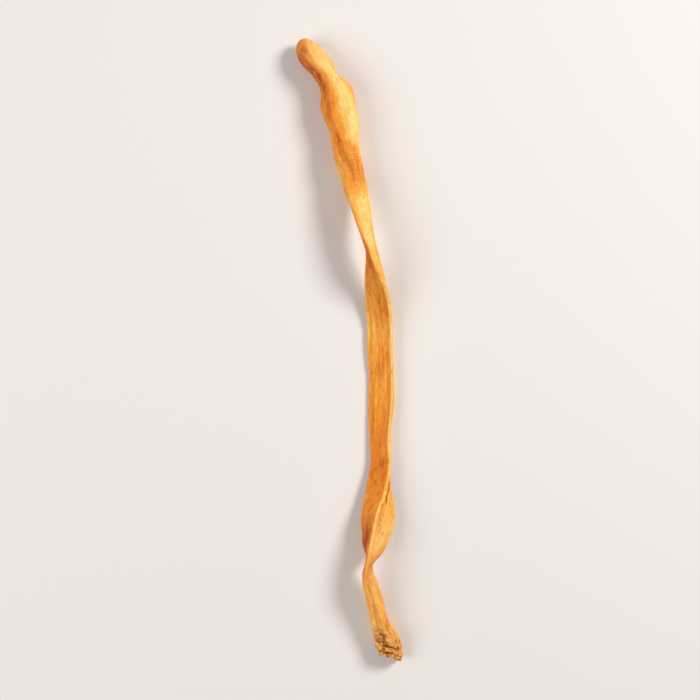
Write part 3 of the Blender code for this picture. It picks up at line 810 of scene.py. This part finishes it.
def lay_out(mesh, count, columns):
    """Gives the grid's faces, then its two fans, their places on UV_STRIPS strips."""
    rows = math.ceil((count - 1) / UV_STRIPS)
    i, j = np.meshgrid(np.arange(count - 1), np.arange(columns), indexing="ij")
    strip, row = i // rows, i % rows

    def laid(strip, row, column):
        across = UV_MARGIN + (1 - 2 * UV_MARGIN) * column / columns
        down = UV_MARGIN + (1 - 2 * UV_MARGIN) * row / rows
        return np.stack(np.broadcast_arrays((strip + across) / UV_STRIPS, 1 - down), axis=-1)

    corners = [laid(strip, row, j), laid(strip, row + 1, j)]
    corners += [laid(strip, row + 1, j + 1), laid(strip, row, j + 1)]
    quads = np.stack(corners, axis=-2).reshape(-1, 2)
    k = np.arange(columns)
    first = 0 * k
    tip = np.stack([laid(first, -2, k + 0.5), laid(first, 0, k), laid(first, 0, k + 1)], axis=1)
    strip, row = first + (count - 2) // rows, (count - 2) % rows + 1
    base = [laid(strip, row + 2, k + 0.5), laid(strip, row, k + 1), laid(strip, row, k)]
    places = np.concatenate([quads, tip.reshape(-1, 2), np.stack(base, axis=1).reshape(-1, 2)])
    layer = mesh.uv_layers.new(name="OFBake")
    layer.data.foreach_set("uv", places.astype(np.float32).ravel())


def loose_mesh(name, parts):
    """One mesh object from (vertices, faces, shade) parts. shade is 0 dark brown to 1 cream."""
    vertices, faces, shades = [], [], []
    for part_vertices, part_faces, shade in parts:
        start = len(vertices)
        vertices.extend((part_vertices * MILLIMETRE).tolist())
        faces.extend([tuple(start + i for i in face) for face in part_faces])
        shades.extend([shade] * len(part_vertices))
    mesh = bpy.data.meshes.new(name)
    mesh.from_pydata(vertices, [], faces)
    store(mesh, "shade", shades)
    store(mesh, "flesh_place", np.array(vertices) / MILLIMETRE)
    mesh.shade_smooth()
    return placed(name, mesh)


def build_crumbs(points, normal):
    """Crumbs that cling to the torn base: rough lumps, half sunk in the flesh."""
    ball = bmesh.new()
    bmesh.ops.create_icosphere(ball, subdivisions=3, radius=1)
    sphere = np.array([v.co for v in ball.verts])
    faces = [tuple(v.index for v in face.verts) for face in ball.faces]
    ball.free()
    random = np.random.default_rng(12)
    last = len(points) - TORN_RINGS - 1
    parts = []
    for k in range(CRUMB_COUNT):
        row = last + int(random.integers(*CRUMB_ROWS))
        column = int(random.integers(0, COLUMNS))
        if k % 3 == 0:
            row = last + int(random.integers(*PATCH_ROWS))
            column = int(random.integers(*PATCH_COLUMNS))
        radius = random.uniform(*CRUMB_RADIUS) * random.uniform(0.6, 1)
        spin = np.array(Euler(random.uniform(0, math.tau, 3)).to_matrix())
        shape = sphere * (1 + 0.8 * field(sphere + 5 * k, CRUMB_LUMPS)[:, None])
        shape *= 1 + 0.4 * field(sphere + 5 * k, CRUMB_GRAIN)[:, None]
        shape = (shape * random.uniform(*CRUMB_STRETCH, 3)) @ spin.T * radius
        shape += points[row, column] + normal[row, column] * radius * CRUMB_LIFT
        shape[:, 2] = np.maximum(shape[:, 2], 0)
        parts.append((shape, faces, random.uniform(0, 0.65)))
    return loose_mesh("base_crumbs", parts)


def build_shreds(points, normal):
    """Torn shreds at the base: short flat tongues of flesh that curl back from its rim."""
    random = np.random.default_rng(7)
    last = len(points) - TORN_RINGS - 1
    share = np.linspace(0, 1, SHRED_RINGS)
    turn = np.arange(SHRED_SIDES) * math.tau / SHRED_SIDES
    faces = []
    for i in range(SHRED_RINGS - 1):
        for j in range(SHRED_SIDES):
            after = (j + 1) % SHRED_SIDES
            a, b = i * SHRED_SIDES, (i + 1) * SHRED_SIDES
            faces.append((a + j, b + j, b + after, a + after))
    faces.append(tuple(range(SHRED_SIDES)))
    faces.append(tuple(reversed(range(b, b + SHRED_SIDES))))
    parts = []
    for k in range(SHRED_COUNT):
        row = last + int(random.integers(*SHRED_ROWS))
        column = int(random.integers(0, COLUMNS))
        length = random.uniform(*SHRED_LENGTH)
        out = normal[row, column]
        heading = np.array((0, -1, 0)) + out * SHRED_LEAN + random.normal(0, SHRED_SCATTER, 3)
        curl = out * random.uniform(*SHRED_CURL) * length + random.normal(0, 0.1, 3)
        root = points[row, column] - out * SHRED_SUNK + np.array((0, SHRED_SET_BACK, 0))
        route = root + share[:, None] * heading * length + (share**2)[:, None] * curl
        ahead = np.gradient(route, axis=0)
        ahead /= np.linalg.norm(ahead, axis=1, keepdims=True)
        side = np.cross(ahead, out)
        side /= np.linalg.norm(side, axis=1, keepdims=True)
        rise = np.cross(side, ahead)
        taper = (1 - share**2.5) * (0.6 + 0.4 * share) + 0.05
        wide = random.uniform(*SHRED_WIDTH) * taper
        flat = (side * wide[:, None])[:, None] * np.cos(turn)[:, None]
        flat = flat + (rise * SHRED_THICKNESS)[:, None] * np.sin(turn)[:, None]
        tongue = (route[:, None] + flat).reshape(-1, 3)
        ruffle = field(tongue + 3 * k, SHRED_RUFFLE) * RUFFLE_HEIGHT
        tongue += ruffle[:, None] * np.repeat(rise, SHRED_SIDES, axis=0)
        tongue[:, 2] += max(0, -tongue[:, 2].min())
        parts.append((tongue, faces, random.uniform(0.25, 0.9)))
    return loose_mesh("torn_shreds", parts)


class Nodes:
    """Shorthand for the nodes of one material, joined up as they are made."""

    def __init__(self, name):
        self.material = bpy.data.materials.new(name)
        self.material.use_nodes = True
        self.tree = self.material.node_tree
        self.surface = self.tree.nodes["Principled BSDF"]

    def put(self, value, socket):
        """Joins an output to the socket, or sets the socket to a plain value."""
        if isinstance(value, bpy.types.NodeSocket):
            self.tree.links.new(value, socket)
        else:
            socket.default_value = value

    def node(self, kind, values=(), **settings):
        made = self.tree.nodes.new(kind)
        for key, value in settings.items():
            setattr(made, key, value)
        for place, value in dict(values).items():
            self.put(value, made.inputs[place])
        return made

    def attribute(self, name, output="Fac"):
        return self.node("ShaderNodeAttribute", attribute_name=name).outputs[output]

    def maths(self, operation, *values, clamp=False):
        made = self.node("ShaderNodeMath", enumerate(values), operation=operation, use_clamp=clamp)
        return made.outputs[0]

    def noise(self, place, scale, detail, roughness):
        values = {"Vector": place, "Scale": scale, "Detail": detail, "Roughness": roughness}
        return self.node("ShaderNodeTexNoise", values).outputs["Fac"]

    def stretched(self, place, scale):
        return self.node("ShaderNodeMapping", {"Vector": place, "Scale": scale}).outputs[0]

    def mixed(self, factor, first, second):
        values = {0: factor, 6: first, 7: second}
        return self.node("ShaderNodeMix", values, data_type="RGBA").outputs[2]

    def ramp(self, factor, stops):
        made = self.node("ShaderNodeValToRGB", {"Fac": factor})
        elements = made.color_ramp.elements
        elements[0].position, elements[0].color = stops[0]
        elements[1].position, elements[1].color = stops[-1]
        for position, colour in stops[1:-1]:
            elements.new(position).color = colour
        return made.outputs["Color"]


def flesh_material():
    """Dry flesh: pale or deep orange by the mesh's tone, with streaks, mottling and specks."""
    n = Nodes("dry_flesh")
    place, raised = n.attribute("flesh_place", "Vector"), n.attribute("raised")
    streak = n.noise(n.stretched(place, STREAK_DRAWN), *STREAK_PATTERN)
    mottle = n.noise(n.stretched(place, MOTTLE_DRAWN), *MOTTLE_PATTERN)
    fleck = n.noise(n.stretched(place, FLECK_DRAWN), *FLECK_PATTERN)
    grain = n.noise(place, *GRAIN_PATTERN)

    streaked = n.maths("MULTIPLY", n.attribute("streaky"), n.maths("SUBTRACT", streak, 0.5))
    # The relief paints light: painted shade in creases, painted highlight on crests.
    tone = n.maths("MULTIPLY_ADD", raised, RAISED_SWAY, n.attribute("tone"))
    tone = n.maths("MULTIPLY_ADD", streaked, STREAK_SWAY, tone)
    for pattern, sway in (mottle, MOTTLE_SWAY), (fleck, FLECK_SWAY), (grain, GRAIN_SWAY):
        tone = n.maths("MULTIPLY_ADD", n.maths("SUBTRACT", pattern, 0.5), sway, tone)
    colour = n.ramp(n.maths("MULTIPLY_ADD", tone, *TONE_TO_RAMP), FLESH_STOPS)
    colour = n.mixed(n.attribute("tan"), colour, n.mixed(grain, TAN, CREAM))

    # Stains turn the flesh russet; a few of the patches are painted shade.
    patchy = n.maths("MULTIPLY_ADD", n.noise(place, *CRUST_PATTERN), *CRUST_TO_STAIN)
    patchy = n.maths("MULTIPLY_ADD", raised, -0.45, patchy, clamp=True)
    stained_and_shaded = n.maths("MULTIPLY", patchy, n.attribute("stain_and_shade"))
    colour = n.mixed(n.maths("MULTIPLY", stained_and_shaded, STAIN_STRENGTH), colour, RUSSET)
    dots = n.noise(place, *DOT_PATTERN)
    dotted = n.maths("MULTIPLY_ADD", n.attribute("speckled"), 0.22, dots)
    dotted = n.maths("MULTIPLY_ADD", dotted, *DOT_EDGE, clamp=True)
    colour = n.mixed(n.maths("MULTIPLY", dotted, DOT_DARKNESS), colour, BROWN)
    # The marks darken the flesh: painted shade in dents, the slit and the curls' hollows, and the
    # pits' own brown.
    marks = n.attribute("marks")
    marked = n.maths("MULTIPLY", marks, MARK_DARKNESS)
    colour = n.mixed(marked, colour, n.ramp(marks, MARK_STOPS))
    specks = n.node("ShaderNodeTexVoronoi", {"Vector": place, "Scale": SPECK_CELLS})
    split = n.node("ShaderNodeSeparateColor", {0: specks.outputs["Color"]})
    near = n.maths("LESS_THAN", specks.outputs["Distance"], SPECK_RADIUS)
    speck = n.maths("MULTIPLY", near, n.maths("GREATER_THAN", split.outputs[0], SPECKLESS))
    colour = n.mixed(n.maths("MULTIPLY", speck, SPECK_DARKNESS), colour, BROWN)
    n.put(colour, n.surface.inputs["Base Color"])

    rough = n.maths("MULTIPLY_ADD", grain, 0.25, 0.45)
    n.put(n.maths("MULTIPLY_ADD", raised, -0.05, rough), n.surface.inputs["Roughness"])
    n.surface.inputs["Specular IOR Level"].default_value = 0.2
    n.surface.inputs["Subsurface Weight"].default_value = 0.15
    n.surface.inputs["Subsurface Radius"].default_value = (1.0, 0.35, 0.08)
    n.surface.inputs["Subsurface Scale"].default_value = 0.0008
    height = n.maths("ADD", n.maths("MULTIPLY", streaked, 1.2), n.maths("MULTIPLY", grain, 0.7))
    height = n.maths("MULTIPLY_ADD", dotted, -0.3, height)
    bump = n.node("ShaderNodeBump", {"Strength": 0.6, "Distance": 0.00006, "Height": height})
    n.put(bump.outputs[0], n.surface.inputs["Normal"])
    return n.material


def crumb_material():
    """Crumbs and torn shreds: dark brown, orange, tan or cream, each in its own shade."""
    n = Nodes("dry_crumb")
    grain = n.noise(n.attribute("flesh_place", "Vector"), *CRUMB_PATTERN)
    shade = n.maths("MULTIPLY_ADD", n.maths("SUBTRACT", grain, 0.5), 0.9, n.attribute("shade"))
    n.put(n.ramp(shade, CRUMB_STOPS), n.surface.inputs["Base Color"])
    n.surface.inputs["Roughness"].default_value = 0.75
    bump = n.node("ShaderNodeBump", {"Strength": 0.7, "Distance": 0.00005, "Height": grain})
    n.put(bump.outputs[0], n.surface.inputs["Normal"])
    return n.material


def build_lamp(name, place, size, power, colour):
    """A round lamp that shines at the origin."""
    light = bpy.data.lights.new(name, "AREA")
    light.shape, light.size = "DISK", size
    light.energy, light.color = power, colour
    lamp = placed(name, light)
    lamp.location = place
    lamp.rotation_euler = (-Vector(place)).to_track_quat("-Z", "Y").to_euler()


def build_stage():
    """A plain pale floor, and soft studio light that comes mostly from the upper right."""
    bpy.ops.mesh.primitive_plane_add(size=FLOOR_SIZE, location=(0, 0, -FLOOR_DROP))
    floor = bpy.context.object
    floor.name = "floor"
    n = Nodes("pale_floor")
    n.surface.inputs["Base Color"].default_value = FLOOR_COLOUR
    n.surface.inputs["Roughness"].default_value = 0.8
    floor.data.materials.append(n.material)
    build_lamp("key", *KEY_LAMP)
    build_lamp("fill", *FILL_LAMP)
    world = bpy.data.worlds.new("studio")
    world.use_nodes = True
    sky = world.node_tree.nodes["Background"]
    sky.inputs["Color"].default_value = SKY_COLOUR
    sky.inputs["Strength"].default_value = SKY_STRENGTH
    bpy.context.scene.world = world
    bpy.context.scene.view_settings.view_transform = "Standard"


def build_camera():
    """A camera straight above the middle of the strand."""
    camera = bpy.data.cameras.new("camera")
    camera.lens, camera.sensor_width = LENS, SENSOR_WIDTH
    seen = placed("camera", camera)
    shown = (cad_high - cad_low).y / SHARE_OF_PICTURE
    middle = (cad_low + cad_high) / 2
    seen.location = (middle.x, middle.y, shown * camera.lens / camera.sensor_width + middle.z)
    bpy.context.scene.camera = seen


def main():
    body, points, normal = build_body()
    body.data.materials.append(flesh_material())
    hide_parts("fruiting_body")
    crumbs, shreds = build_crumbs(points, normal), build_shreds(points, normal)
    crumbs.data.materials.append(crumb_material())
    shreds.data.materials.append(crumbs.data.materials[0])
    for piece in (body, crumbs, shreds):
        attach(piece, "root")
    build_stage()
    build_camera()


main()
